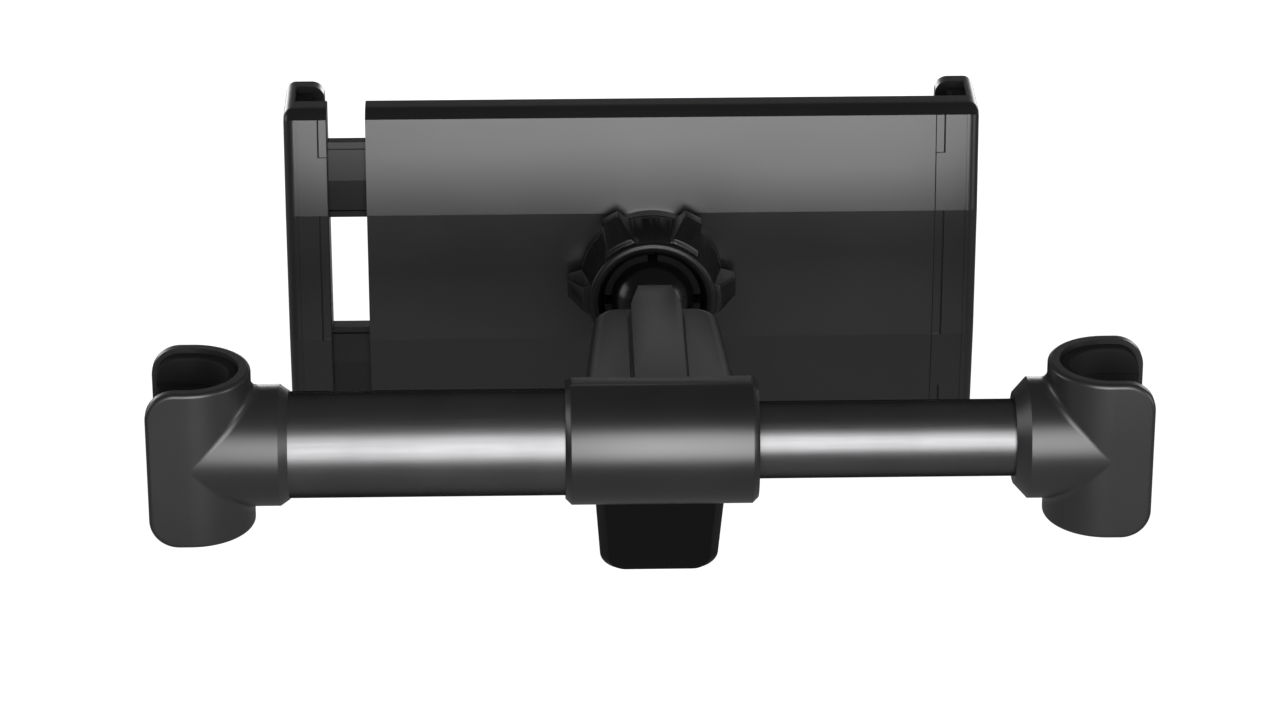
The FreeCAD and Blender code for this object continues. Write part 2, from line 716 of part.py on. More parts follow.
def lock_lever():
    """The paddle hangs from its pin axis along -Z; its head is an off-centre cam."""
    body = new_body("lever_body")
    left = "-lever_width / 2"
    head = sketch_on(body, "cam_head", "YZ_Plane", left)
    circle(head, "cam_radius", "cam_offset * cos(cam_phase)", "cam_offset * sin(cam_phase)")
    pad(body, head, "lever_width")
    blade = sketch_on(body, "lever_blade", "XZ_Plane", "-lever_thickness / 2")
    polygon(blade, [("-lever_width / 2", "0"), ("lever_width / 2", "0"),
                    ("lever_tip_width / 2", "-lever_length"), ("-lever_tip_width / 2", "-lever_length")])
    pad(body, blade, "lever_thickness")
    round_edges(body, "lever_corner", lambda edge: straight_along(edge, ALONG_Y)
                and near(middle(edge).z, "-lever_length"), "lever_corner_rounds")

    def front_edge(edge):
        spot = middle(edge)
        return near(spot.y, "-lever_thickness / 2") and spot.z < -number("cam_radius + 1") \
            and edge.BoundBox.YLength < NEAR

    bevel_edges(body, "lever_bevel", front_edge, "lever_front_bevel")

    def back_edge(edge):
        spot = middle(edge)
        return near(spot.y, "lever_thickness / 2") and spot.z < -number("cam_radius + 1") \
            and edge.BoundBox.YLength < NEAR

    round_edges(body, "lever_bevel / 2", back_edge, "lever_back_rounds")
    hole = circle(sketch_on(body, "lever_pin_hole", "YZ_Plane", left),
                  "lever_pin_diameter / 2 + fit_gap")
    pocket(body, hole, "lever_width")
    return body


# Ball joint; each piece is built round the ball's centre

def ball_stud():
    sphere = ball("stud_ball", BALL_RADIUS)
    reach = "(ball_centre_y - arm_end + stud_bore_depth - free_gap)"
    neck = cylinder("stud_neck", "stud_neck_diameter / 2", reach, y=f"-{reach}", along="Y")
    return join("stud_joined", sphere, neck)


def ball_seat():
    """A thin bearing shell between the back of the ball and the cup."""
    skin = ball("seat_skin", f"{GRIP_RADIUS} + seat_thickness")
    hollow = ball("seat_hollow", GRIP_RADIUS)
    cone = doc.addObject("Part::Cone", "seat_cone")
    bind(cone, Radius1="0", Radius2="ball_diameter * tan(seat_half_angle)", Height="ball_diameter")
    place(cone, axis=ALONG_X, angle="-90")
    return shared("seat_shared", cut("seat_shell", skin, hollow), cone)


def ball_cup():
    """Four threaded fingers round the ball, on a flange that sits behind the cradle's back."""
    body = new_body("cup_body")
    profile = sketch_on(body, "cup_profile", "XY_Plane")
    back = f"{CUP_SEAT_DEPTH} + cup_flange_thickness"
    polygon(profile, [("0", "-cup_tip_ahead"), ("cup_tip_radius", "-cup_tip_ahead"),
                      ("cup_radius", "cup_cone_end"), ("cup_radius", back), ("0", back)])
    revolve(body, profile, "V_Axis")
    flange = sketch_on(body, "cup_flange", "XZ_Plane", f"-({CUP_SEAT_DEPTH} + cup_flange_thickness)")
    rectangle(flange, ("-cup_flange_width / 2", "-cup_flange_height / 2"),
              ("cup_flange_width / 2", "cup_flange_height / 2"))
    pad(body, flange, "cup_flange_thickness")
    return body


def hollow_cup():
    body = ball_cup()
    grip = ball("cup_grip", GRIP_RADIUS)
    bore = ball("cup_bore", CUP_BORE)
    half = block("cup_bore_half", ("-2 * cup_radius", "cup_grip_start", "-2 * cup_radius"),
                 ("2 * cup_radius", "4 * cup_radius", "2 * cup_radius"))
    seat_room = shared("cup_seat_room", bore, half)
    slots = []
    for name, across in (("cup_slot_up", True), ("cup_slot_side", False)):
        narrow = "cup_slot_width / 2"
        wide = "2 * cup_radius"
        half_x, half_z = (narrow, wide) if across else (wide, narrow)
        slots.append(block(name, (f"-{half_x}", "-cup_radius", f"-{half_z}"),
                           (half_x, "cup_slot_end", half_z)))
    return cut("cup_cut", body, grip, seat_room, *slots)


def lock_nut():
    """A six-lobed nut with a beaded front rim and an inner cone that closes the fingers."""
    body = new_body("nut_body")
    profile = sketch_on(body, "nut_profile", "XY_Plane")
    bore = "cup_radius + thread_gap"
    polygon(profile, [("nut_mouth_radius", "-cup_tip_ahead - nut_mouth_gap"),
                      ("nut_rim_radius - nut_rim_width", "-nut_front"),
                      ("nut_rim_radius - nut_rim_bevel", "-nut_front"),
                      ("nut_rim_radius", "-nut_front + nut_rim_bevel"),
                      ("nut_rim_radius", "-nut_front + nut_rim_depth"),
                      ("nut_back_radius - nut_shoulder_drop", "nut_lobe_start + nut_shoulder_depth"),
                      ("nut_back_radius", NUT_BACK), (bore, NUT_BACK), (bore, "cup_cone_end")])
    revolve(body, profile, "V_Axis")
    lobe = sketch_on(body, "nut_lobe", "XZ_Plane", f"-({NUT_BACK})")
    root = "cup_radius + nut_root_inset"
    polygon(lobe, [(root, "-nut_lobe_root_width / 2"), ("nut_lobe_radius", "-nut_lobe_tip_width / 2"),
                   ("nut_lobe_radius", "nut_lobe_tip_width / 2"), (root, "nut_lobe_root_width / 2")])
    lobe_pad = pad(body, lobe, f"{NUT_BACK} - nut_lobe_start + nut_lobe_run")
    polar(body, lobe_pad, profile, "V_Axis", NUT_LOBES)
    trim = sketch_on(body, "lobe_trim", "XY_Plane")
    outside = "nut_lobe_radius + nut_root_inset"
    polygon(trim, [("nut_back_radius - nut_root_inset", "-nut_front"), (outside, "-nut_front"),
                   (outside, "nut_lobe_start + nut_lobe_edge_drop"),
                   ("nut_lobe_radius - nut_lobe_tip_bevel", "nut_lobe_start + nut_lobe_front_drop")])
    revolve(body, trim, "V_Axis", "Groove")
    return body


# Cradle, with its faceted back

FACET = "cradle_back_depth"
FACET_EDGE = "(cradle_back_depth + side_facet_rise)"


def back_outline(inset="0", front="cradle_front_depth"):
    """The section of the faceted back, moved in by a wall thickness."""
    middle_height = "middle_facet_height / 2"
    edge_height = f"facet_end_height / 2 - {inset} * facet_wall_share"
    top = f"{HALF_HEIGHT} - {inset}"
    half = [(f"{FACET} + {inset}", middle_height), (f"{FACET_EDGE} + {inset}", edge_height),
            (f"roof_start_depth + {inset} * roof_wall_share", top), (front, top)]
    mirrored = [(depth, f"-({height})") for depth, height in reversed(half)]
    return half + mirrored


def on_roof_edge(edge):
    """True for the two long edges where the faceted back meets its roof and its floor."""
    spot = middle(edge)
    return straight_along(edge, ALONG_X) and near(spot.y, "roof_start_depth") \
        and near(abs(spot.z), HALF_HEIGHT)


def cradle_back():
    body = new_body("cradle_back_body")
    left = f"-{HALF_WIDTH}"
    pad(body, polygon(sketch_on(body, "back_section", "YZ_Plane", left), back_outline()), "cradle_width")
    round_edges(body, "roof_round", on_roof_edge, "back_roof_rounds")
    inside = sketch_on(body, "back_hollow", "YZ_Plane", f"{left} + end_wall")
    polygon(inside, back_outline("cradle_wall", "2 * cradle_front_depth"))
    pocket(body, inside, "cradle_width - 2 * end_wall")
    lid = sketch_on(body, "lid_seat", "YZ_Plane", left)
    rectangle(lid, (PLATE_DEPTH, f"-({HALF_HEIGHT} - cradle_wall)"),
              ("2 * cradle_front_depth", f"{HALF_HEIGHT} - cradle_wall"))
    pocket(body, lid, "cradle_width")
    for name, sign in (("upper", ""), ("lower", "-")):
        window = sketch_on(body, name + "_rail_window", "YZ_Plane", left)
        rail_section(window, sign, "rail_gap")
        pocket(body, window, "cradle_width")
    boss = circle(sketch_on(body, "nut_boss", "XZ_Plane", "-cradle_back_depth"), "boss_radius")
    pad(body, boss, "boss_height")
    for index, (x, z) in enumerate(screw_spots()):
        post = sketch_on(body, f"screw_post_{index}", "XZ_Plane", f"-{PLATE_DEPTH}")
        circle(post, "post_radius", x, z)
        pad(body, post, f"{PLATE_DEPTH} - cradle_back_depth - cradle_wall")
    hole = circle(sketch_on(body, "cup_hole", "XZ_Plane", "-2 * cradle_back_depth"), "cup_radius")
    pocket(body, hole, "2 * cradle_back_depth")
    for index, (x, z) in enumerate(screw_spots()):
        bore = sketch_on(body, f"post_bore_{index}", "XZ_Plane", f"-{PLATE_DEPTH}")
        circle(bore, "plate_screw_diameter / 2", x, z)
        pocket(body, bore, f"{PLATE_DEPTH} - {CUP_SEAT_DEPTH}")
    return body


def screw_spots():
    """Centres of the four screws that hold the front plate, as x and z."""
    return [(f"{x}post_spread", f"{z}post_height") for x in ("-", "") for z in ("-", "")]


def rail_section(sketch, sign, gap):
    """A slide bar's section: flat below its step and leaning forward above it."""
    points = [(f"rail_depth - {gap}", f"rail_low - {gap}"), (f"rail_depth - {gap}", "rail_step"),
              (f"rail_depth + rail_lean - {gap}", f"rail_high + {gap}"),
              (f"{RAIL_FRONT} + {gap}", f"rail_high + {gap}"),
              (f"{RAIL_FRONT} + {gap}", f"rail_low - {gap}")]
    return polygon(sketch, [(depth, f"{sign}({height})") for depth, height in points])


def cradle_front():
    """The plate that closes the cradle, with the pad's recess, screw holes and spring posts."""
    half_height = f"({HALF_HEIGHT} - cradle_wall)"
    plate = block("plate", (f"-{HALF_WIDTH}", PLATE_DEPTH, f"-{half_height}"),
                  (HALF_WIDTH, "cradle_front_depth", half_height))
    recess = block("pad_recess", ("-pad_width / 2", PAD_FLOOR, "-pad_height / 2"),
                   ("pad_width / 2", "2 * cradle_front_depth", "pad_height / 2"))
    tools = [rounded(recess, "pad_recess_round", "pad_corner")]
    for index, (x, z) in enumerate(screw_spots()):
        tools.append(cylinder(f"plate_hole_{index}", "plate_screw_diameter / 2", "cradle_front_depth",
                              x=x, y=CUP_SEAT_DEPTH, z=z, along="Y"))
        tools.append(cylinder(f"plate_head_seat_{index}", "plate_head_diameter / 2",
                              "plate_head_height + pad_thickness", x=x,
                              y=f"{PAD_FLOOR} - plate_head_height", z=z, along="Y"))
    return cut("plate_cut", plate, *tools)


def rounded(box, name, radius, direction=ALONG_Y):
    """A box with its four edges along one direction rounded."""
    doc.recompute()
    item = doc.addObject("Part::Fillet", name)
    item.Base = box
    size = number(radius)
    item.Edges = [(index, size, size) for index, edge in enumerate(box.Shape.Edges, 1)
                  if straight_along(edge, direction)]
    return item


def spring_posts():
    """Posts on the front plate that hold the inner ends of the four springs."""
    posts = []
    for side in ("-", ""):
        for level in ("-", ""):
            name = "spring_post" + ("_left" if side else "_right") + ("_low" if level else "_high")
            posts.append(cylinder(name, "groove_width / 2 - rail_gap * 2",
                                  f"{PLATE_DEPTH} - {RAIL_FRONT} + groove_depth - rail_gap",
                                  x=f"{side}({HALF_WIDTH} - spring_post_inset)",
                                  y=f"{RAIL_FRONT} - groove_depth + rail_gap",
                                  z=f"{level}{GROOVE_CENTRE}", along="Y"))
    return posts


def cradle_pad():
    skin = block("pad_skin", ("-pad_width / 2", PAD_FLOOR, "-pad_height / 2"),
                 ("pad_width / 2", f"{PAD_FLOOR} + pad_thickness", "pad_height / 2"))
    return rounded(skin, "pad_rounded", "pad_corner")


def cradle_screws():
    """Four flat-headed screws under the pad, driven into the posts of the back."""
    solids = []
    for index, (x, z) in enumerate(screw_spots()):
        solids.append(cylinder(f"plate_screw_{index}", "plate_screw_diameter / 2",
                               f"{PAD_FLOOR} - {CUP_SEAT_DEPTH} - plate_screw_setback", x=x,
                               y=f"{CUP_SEAT_DEPTH} + plate_screw_setback", z=z, along="Y"))
        solids.append(cylinder(f"plate_head_{index}", "plate_head_diameter / 2", "plate_head_height",
                               x=x, y=f"{PAD_FLOOR} - plate_head_height", z=z, along="Y"))
    return join("plate_screws", *solids)


# Jaws, built as the left one when shut, round the ball's centre

def facet_strip(sketch, low, high, depth):
    """A shallow strip just behind the faceted back between two heights, for a pocket."""
    def face(height):
        over = f"max(abs({height}) - middle_facet_height / 2; 0)"
        return f"({FACET} + side_facet_rise * {over} / (facet_end_height / 2 - middle_facet_height / 2))"

    outer = [(f"{face(low)} - notch_margin", low), (f"{face(high)} - notch_margin", high)]
    inner = [(f"{face(high)} + {depth}", high), (f"{face(low)} + {depth}", low)]
    return polygon(sketch, outer + inner)


def jaw(side):
    body = new_body(side + "_jaw_body")
    outer = f"-{JAW_OUTER}"
    pad(body, polygon(sketch_on(body, side + "_jaw_section", "YZ_Plane", outer), back_outline()),
        "jaw_width")
    hook_plan = sketch_on(body, side + "_jaw_hook", "XY_Plane", f"-{HALF_HEIGHT}")
    wall = f"({outer} + jaw_side_wall)"
    lip = "(jaw_reach - lip_thickness)"
    tip = f"(-{HALF_WIDTH} - lip_setback)"
    polygon(hook_plan, [(outer, "roof_start_depth"), (wall, "roof_start_depth"), (wall, lip),
                        (tip, lip), (tip, "jaw_reach"), (outer, "jaw_reach")])
    pad(body, hook_plan, "cradle_height")
    round_edges(body, "roof_round", on_roof_edge, side + "_jaw_roof_rounds")

    def lip_end(edge):
        spot = middle(edge)
        return straight_along(edge, ALONG_Y) and near(spot.x, tip) \
            and near(spot.y, f"({lip} + jaw_reach) / 2")

    round_edges(body, "lip_corner", lip_end, side + "_lip_rounds")

    round_edges(body, "jaw_outer_round", lambda edge: near(edge.BoundBox.XMax, outer),
                side + "_jaw_outer_rounds")
    for name, sign in (("upper", ""), ("lower", "-")):
        seat = sketch_on(body, f"{side}_{name}_rail_seat", "YZ_Plane", wall)
        rail_section(seat, sign, "0")
        pocket(body, seat, "jaw_width")
    half_middle = "middle_facet_height / 2"
    strips = (("middle", f"-{half_middle}", half_middle), ("top", "notch_start", "facet_end_height / 2"),
              ("bottom", "-facet_end_height / 2", "-notch_start"))
    for name, low, high in strips:
        strip = sketch_on(body, f"{side}_{name}_notch", "YZ_Plane", f"-{HALF_WIDTH} - notch_width")
        pocket(body, facet_strip(strip, low, high, "notch_depth"), "notch_width")
    lines = (("middle", f"-{half_middle}", half_middle), ("top", half_middle, "facet_end_height / 2"),
             ("bottom", "-facet_end_height / 2", f"-{half_middle}"))
    for name, low, high in lines:
        line = sketch_on(body, f"{side}_{name}_line", "YZ_Plane", f"{outer} + panel_line_offset")
        pocket(body, facet_strip(line, low, high, "panel_line_width"), "panel_line_width")
    return body


def rails(side):
    """Two slide bars joined by a link at their inner ends, with a spring groove in each."""
    body = new_body(side + "_rails_body")
    start = f"(-{JAW_OUTER} + jaw_side_wall)"
    length = f"-({start}) - rail_inner_end"
    for name, sign in (("upper", ""), ("lower", "-")):
        section = sketch_on(body, f"{side}_{name}_rail", "YZ_Plane", start)
        pad(body, rail_section(section, sign, "0"), length)
    link = sketch_on(body, side + "_rail_link", "YZ_Plane", "-rail_inner_end - rail_link_width")
    rectangle(link, (f"{RAIL_FRONT} - rail_link_thickness", "-rail_low - rail_link_overlap"),
              (RAIL_FRONT, "rail_low + rail_link_overlap"))
    pad(body, link, "rail_link_width")
    for name, sign in (("upper", ""), ("lower", "-")):
        groove = sketch_on(body, f"{side}_{name}_groove", "XZ_Plane", f"-{RAIL_FRONT}")
        low = f"({sign}{GROOVE_CENTRE} - groove_width / 2)"
        rectangle(groove, (f"{start} + jaw_width", low),
                  ("-rail_inner_end - rail_link_width", f"{low} + groove_width"))
        pocket(body, groove, "groove_depth", forward=True)
        lines = (("inner", "rail_low + rail_line_inset"), ("outer", "rail_high - rail_line_inset"))
        for edge_name, height in lines:
            line = sketch_on(body, f"{side}_{name}_{edge_name}_line", "YZ_Plane", start)
            half = "rail_line_width / 2"
            rectangle(line, ("rail_depth - rail_line_width", f"{sign}({height}) - {half}"),
                      ("rail_depth + rail_lean + rail_line_width", f"{sign}({height}) + {half}"))
            pocket(body, line, length)
    return body


def jaw_pad(side):
    """A rubber wedge in the corner between the jaw's side wall and its lip."""
    body = new_body(side + "_jaw_pad_body")
    wall = f"(-{JAW_OUTER} + jaw_side_wall)"
    lip = "(jaw_reach - lip_thickness)"
    section = sketch_on(body, side + "_jaw_pad_section", "XY_Plane", "-jaw_pad_height / 2")
    polygon(section, [(wall, "cradle_front_depth"), (f"{wall} + jaw_pad_thickness", "cradle_front_depth"),
                      (f"{wall} + jaw_pad_lip_thickness", lip), (wall, lip)])
    pad(body, section, "jaw_pad_height")
    return body


def springs(side, opening):
    """The two extension springs of a jaw, from the groove's end to the post on the front plate."""
    start = f"(-{JAW_OUTER} + jaw_side_wall + jaw_width)"
    length = f"{opening} - ({HALF_WIDTH} - spring_post_inset) - groove_width / 2 - {start}"
    solids = []
    for name, sign in (("upper", ""), ("lower", "-")):
        where = {"x": start, "y": f"{RAIL_FRONT} - groove_depth + spring_diameter / 2 + spring_rest_gap",
                 "z": f"{sign}{GROOVE_CENTRE}", "along": "X"}
        coil = cylinder(f"{side}_{name}_coil", "spring_diameter / 2", length, **where)
        bore = cylinder(f"{side}_{name}_coil_bore", "spring_bore / 2", length, **where)
        solids.append(cut(f"{side}_{name}_spring", coil, bore))
    return join(side + "_springs_joined", *solids)


def build():
    finish(hook("left", "outer_tube_diameter / 2", "left_socket_length", "left_socket_bevel",
                "left_socket_bevel_depth"), "left_hook")
    finish(hook_pad("left"), "left_hook_pad")
    finish(tube_screw("left", "outer_tube_diameter / 2", "outer_tube_wall"), "left_tube_screw",
           x=f"({HOOK_RADIUS} + left_socket_length - left_socket_bevel) / 2")
    finish(outer_tube(), "outer_tube")
    finish(guide_bush(), "guide_bush")
    finish(inner_tube(), "inner_tube")
    finish(stop_ring(), "stop_ring")
    finish(hook("right", INNER_RADIUS, "right_socket_length", "right_socket_bevel",
                "right_socket_bevel_depth"), "right_hook", x="post_spacing", axis=ALONG_Y, angle="180")
    finish(hook_pad("right"), "right_hook_pad", x="post_spacing", axis=ALONG_Y, angle="180")
    finish(tube_screw("right", INNER_RADIUS, "inner_tube_wall"), "right_tube_screw",
           x=f"post_spacing - ({HOOK_RADIUS} + right_socket_length - right_socket_bevel) / 2")
    finish(collar_with_lever_slot(), "collar_arm", x="collar_offset")
    finish(cylinder("lever_pin_rod", "lever_pin_diameter / 2", "lever_pin_length"), "lever_pin",
           "collar_offset - lever_pin_length / 2", PIN_Y, PIN_Z, ALONG_Y, "90")
    finish(brake_shoe(), "brake_shoe", x="collar_offset", axis=ALONG_X, angle="brake_angle")
    finish(lock_lever(), "lock_lever", "collar_offset", PIN_Y, PIN_Z, ALONG_X, "lever_angle")
    at_ball = {"x": "collar_offset", "y": "ball_centre_y"}
    finish(ball_stud(), "ball_stud", **at_ball)
    finish(ball_seat(), "ball_seat", **at_ball)
    finish(hollow_cup(), "ball_cup", **at_ball)
    finish(lock_nut(), "lock_nut", **at_ball)
    finish(cradle_back(), "cradle_back", **at_ball)
    finish(join("plate_with_posts", cradle_front(), *spring_posts()), "cradle_front", **at_ball)
    finish(cradle_pad(), "cradle_pad", **at_ball)
    finish(cradle_screws(), "cradle_screws", **at_ball)
    left = {"x": "collar_offset - left_jaw_opening", "y": "ball_centre_y"}
    right = {"x": "collar_offset", "y": "ball_centre_y", "axis": ALONG_Y, "angle": "180"}
    for side, spot, opening in (("left", left, "left_jaw_opening"), ("right", right, "0")):
        finish(jaw(side), side + "_jaw", **spot)
        finish(rails(side), side + "_rails", **spot)
        finish(jaw_pad(side), side + "_jaw_pad", **spot)
        finish(springs(side, opening), side + "_springs", **spot)
    doc.recompute()


def write():
    for item in doc.Objects:
        if "Invalid" in item.State or "Error" in item.State:
            raise RuntimeError(f"{item.Label} failed: {item.State}")
    os.makedirs("parts", exist_ok=True)
    for item in PARTS:
        shape = item.Shape
        if shape.isNull() or not shape.isValid():
            raise RuntimeError(f"{item.Label} has no valid shape")
        shape.exportStep(f"parts/{item.Label}.step")
        print(item.Label, len(shape.Solids), round(shape.Volume, 1))


build()
write()
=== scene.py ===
import json
import math

import bmesh
import bpy
from mathutils import Matrix, Vector


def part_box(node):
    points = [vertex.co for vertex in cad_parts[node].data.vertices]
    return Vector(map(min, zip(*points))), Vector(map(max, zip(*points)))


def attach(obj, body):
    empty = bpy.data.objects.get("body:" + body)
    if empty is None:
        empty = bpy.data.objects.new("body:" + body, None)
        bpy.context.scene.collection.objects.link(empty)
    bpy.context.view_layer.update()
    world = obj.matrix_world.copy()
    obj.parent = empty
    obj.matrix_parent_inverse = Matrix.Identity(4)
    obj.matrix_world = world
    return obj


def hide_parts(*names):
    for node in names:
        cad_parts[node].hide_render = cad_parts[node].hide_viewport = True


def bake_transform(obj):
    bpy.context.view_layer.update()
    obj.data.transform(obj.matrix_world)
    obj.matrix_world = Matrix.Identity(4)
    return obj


# Headrest tablet mount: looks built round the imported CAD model, in metres.

MM = 0.001
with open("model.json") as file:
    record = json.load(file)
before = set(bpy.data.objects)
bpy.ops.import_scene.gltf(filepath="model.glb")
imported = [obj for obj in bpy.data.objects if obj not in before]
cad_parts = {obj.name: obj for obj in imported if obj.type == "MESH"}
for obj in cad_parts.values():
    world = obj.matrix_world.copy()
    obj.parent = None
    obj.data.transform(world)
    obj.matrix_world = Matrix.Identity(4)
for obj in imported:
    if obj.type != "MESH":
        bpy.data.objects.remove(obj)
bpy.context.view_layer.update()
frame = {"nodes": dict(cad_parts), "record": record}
scene = bpy.context.scene
scene.view_settings.view_transform = "Standard"

COLLAR_X = 87.6 * MM
BALL = Vector((COLLAR_X, 66.5 * MM, 0.0))
WHITE = (1, 1, 1, 1)


# Camera, at the photograph's angle

IMAGE_WIDTH = 1280
VIEW_ELEVATION = math.radians(25.0)
VIEW_AZIMUTH = math.radians(-1.36)
FOCAL_PIXELS = 4800.0
PIXELS_PER_MM = 5.35
SENSOR = 36.0
DISTANCE = FOCAL_PIXELS / PIXELS_PER_MM * MM
AIM_RIGHT = 4.02 * MM
AIM_UP = -15.1 * MM
CLIP_NEAR = 0.01
CLIP_FAR = 50.0


def make_camera():
    sin_a, cos_a = math.sin(VIEW_AZIMUTH), math.cos(VIEW_AZIMUTH)
    sin_e, cos_e = math.sin(VIEW_ELEVATION), math.cos(VIEW_ELEVATION)
    right = Vector((cos_a, sin_a, 0))
    up = Vector((-sin_a * sin_e, cos_a * sin_e, cos_e))
    forward = Vector((-sin_a * cos_e, cos_a * cos_e, -sin_e))
    data = bpy.data.cameras.new("camera")
    data.sensor_width = SENSOR
    data.lens = FOCAL_PIXELS / IMAGE_WIDTH * SENSOR
    data.clip_start = CLIP_NEAR
    data.clip_end = CLIP_FAR
    camera = bpy.data.objects.new("camera", data)
    scene.collection.objects.link(camera)
    place = Vector((COLLAR_X, 0, 0)) - right * AIM_RIGHT - up * AIM_UP - forward * DISTANCE
    turn = Matrix((right, up, -forward)).transposed()
    camera.matrix_world = Matrix.Translation(place) @ turn.to_4x4()
    scene.camera = camera


# Light

LAMP_AIM = (COLLAR_X, 0.02, 0.0)
# Name, place, width and height, watts, spread in degrees
LAMPS = (
    ("key", (COLLAR_X + 0.015, -0.30, 0.084), (0.30, 0.30), 0.46, 90),
    ("left_side", (COLLAR_X - 0.7, 0.15, 0.12), (0.4, 0.3), 0.8, 180),
    ("right_side", (COLLAR_X + 0.61, -0.22, 0.08), (0.24, 0.3), 0.8, 180),
    ("back", (COLLAR_X, 0.7, -0.02), (0.9, 0.2), 2.2, 180),
)


def area_light(name, place, size, power, spread):
    """A soft rectangular lamp turned to the object, itself not seen by the camera."""
    data = bpy.data.lights.new(name, "AREA")
    data.shape = "RECTANGLE"
    data.size, data.size_y = size
    data.energy = power
    data.spread = math.radians(spread)
    lamp = bpy.data.objects.new(name, data)
    scene.collection.objects.link(lamp)
    lamp.location = place
    lamp.rotation_mode = "QUATERNION"
    lamp.rotation_quaternion = (Vector(LAMP_AIM) - Vector(place)).to_track_quat("-Z", "Y")
    lamp.visible_camera = False


def make_lights():
    for lamp in LAMPS:
        area_light(*lamp)


# How much of the white background each kind of ray sees
BACKGROUND_SHARES = (("Is Camera Ray", 1.0), ("Is Transmission Ray", 1.0), ("Is Glossy Ray", 0.08))


def background_share(nodes, links):
    """1 for camera and transmission rays, less for glossy ones, 0 for diffuse light."""
    path = nodes.new("ShaderNodeLightPath")
    total = None
    for name, share in BACKGROUND_SHARES:
        part = nodes.new("ShaderNodeMath")
        part.operation = "MULTIPLY"
        part.inputs[1].default_value = share
        links.new(path.outputs[name], part.inputs[0])
        if total is None:
            total = part.outputs[0]
            continue
        larger = nodes.new("ShaderNodeMath")
        larger.operation = "MAXIMUM"
        links.new(total, larger.inputs[0])
        links.new(part.outputs[0], larger.inputs[1])
        total = larger.outputs[0]
    return total


WORLD_LIGHT = 0.1
HORIZON_SINE = 0.04
DARK_SINE = 0.35
ZENITH_SHADE = 0.02


def make_world():
    """A white horizon under a dark studio ceiling, and a weak even light on the object."""
    world = bpy.data.worlds.new("studio")
    scene.world = world
    world.use_nodes = True
    nodes, links = world.node_tree.nodes, world.node_tree.links
    nodes.clear()
    dim = nodes.new("ShaderNodeBackground")
    dim.inputs["Color"].default_value = WHITE
    dim.inputs["Strength"].default_value = WORLD_LIGHT
    direction = nodes.new("ShaderNodeTexCoord")
    parts = nodes.new("ShaderNodeSeparateXYZ")
    links.new(direction.outputs["Generated"], parts.inputs[0])
    shown = nodes.new("ShaderNodeBackground")
    shown.inputs["Color"].default_value = WHITE
    links.new(ranged(nodes, links, parts.outputs["Z"], 1.0, ZENITH_SHADE, HORIZON_SINE, DARK_SINE),
              shown.inputs["Strength"])
    mix = nodes.new("ShaderNodeMixShader")
    links.new(background_share(nodes, links), mix.inputs[0])
    links.new(dim.outputs[0], mix.inputs[1])
    links.new(shown.outputs[0], mix.inputs[2])
    output = nodes.new("ShaderNodeOutputWorld")
    links.new(mix.outputs[0], output.inputs["Surface"])


FLOOR_LEVEL = -0.14
FLOOR_REACH = 6.0
FLOOR_GLOW = 0.95
FLOOR_COLOUR = (0.3, 0.3, 0.3, 1)


def floor_material():
    """Matt, so that it takes the shadow, with a glow that makes it show white."""
    material = bpy.data.materials.new("floor")
    material.use_nodes = True
    nodes, links = material.node_tree.nodes, material.node_tree.links
    nodes.clear()
    matt = nodes.new("ShaderNodeBsdfDiffuse")
    matt.inputs["Color"].default_value = FLOOR_COLOUR
    glow = nodes.new("ShaderNodeEmission")
    gain = nodes.new("ShaderNodeMath")
    gain.operation = "MULTIPLY"
    gain.inputs[1].default_value = FLOOR_GLOW
    links.new(background_share(nodes, links), gain.inputs[0])
    links.new(gain.outputs[0], glow.inputs["Strength"])
    both = nodes.new("ShaderNodeAddShader")
    links.new(matt.outputs[0], both.inputs[0])
    links.new(glow.outputs[0], both.inputs[1])
    output = nodes.new("ShaderNodeOutputMaterial")
    links.new(both.outputs[0], output.inputs["Surface"])
    return material


def make_floor():
    mesh = bpy.data.meshes.new("floor")
    corners = [(-FLOOR_REACH, -FLOOR_REACH), (FLOOR_REACH, -FLOOR_REACH),
               (FLOOR_REACH, FLOOR_REACH), (-FLOOR_REACH, FLOOR_REACH)]
    mesh.from_pydata([(x, y, FLOOR_LEVEL) for x, y in corners], [], [(0, 1, 2, 3)])
    mesh.materials.append(floor_material())
    floor = bpy.data.objects.new("floor", mesh)
    scene.collection.objects.link(floor)


# Materials, in parts that they share

def new_material(name):
    material = bpy.data.materials.new(name)
    material.use_nodes = True
    nodes = material.node_tree.nodes
    return material, nodes, material.node_tree.links, nodes["Principled BSDF"]


def place_in(nodes, links, scale=(1, 1, 1)):
    """The surface's own place in metres, stretched by a scale for each axis."""
    where = nodes.new("ShaderNodeTexCoord")
    mapping = nodes.new("ShaderNodeMapping")
    mapping.inputs["Scale"].default_value = scale
    links.new(where.outputs["Object"], mapping.inputs["Vector"])
    return mapping.outputs["Vector"]


def noise(nodes, links, vector, scale, detail=4.0, rough=0.55):
    """Noise with so many cells to the metre."""
    item = nodes.new("ShaderNodeTexNoise")
    item.inputs["Scale"].default_value = scale
    item.inputs["Detail"].default_value = detail
    item.inputs["Roughness"].default_value = rough
    links.new(vector, item.inputs["Vector"])
    return item.outputs["Fac"]


def ranged(nodes, links, value, low, high, start=0.3, end=0.7):
    """The value brought smoothly from one range to another."""
    item = nodes.new("ShaderNodeMapRange")
    item.interpolation_type = "SMOOTHSTEP"
    item.inputs["From Min"].default_value = start
    item.inputs["From Max"].default_value = end
    item.inputs["To Min"].default_value = low
    item.inputs["To Max"].default_value = high
    links.new(value, item.inputs["Value"])
    return item.outputs["Result"]


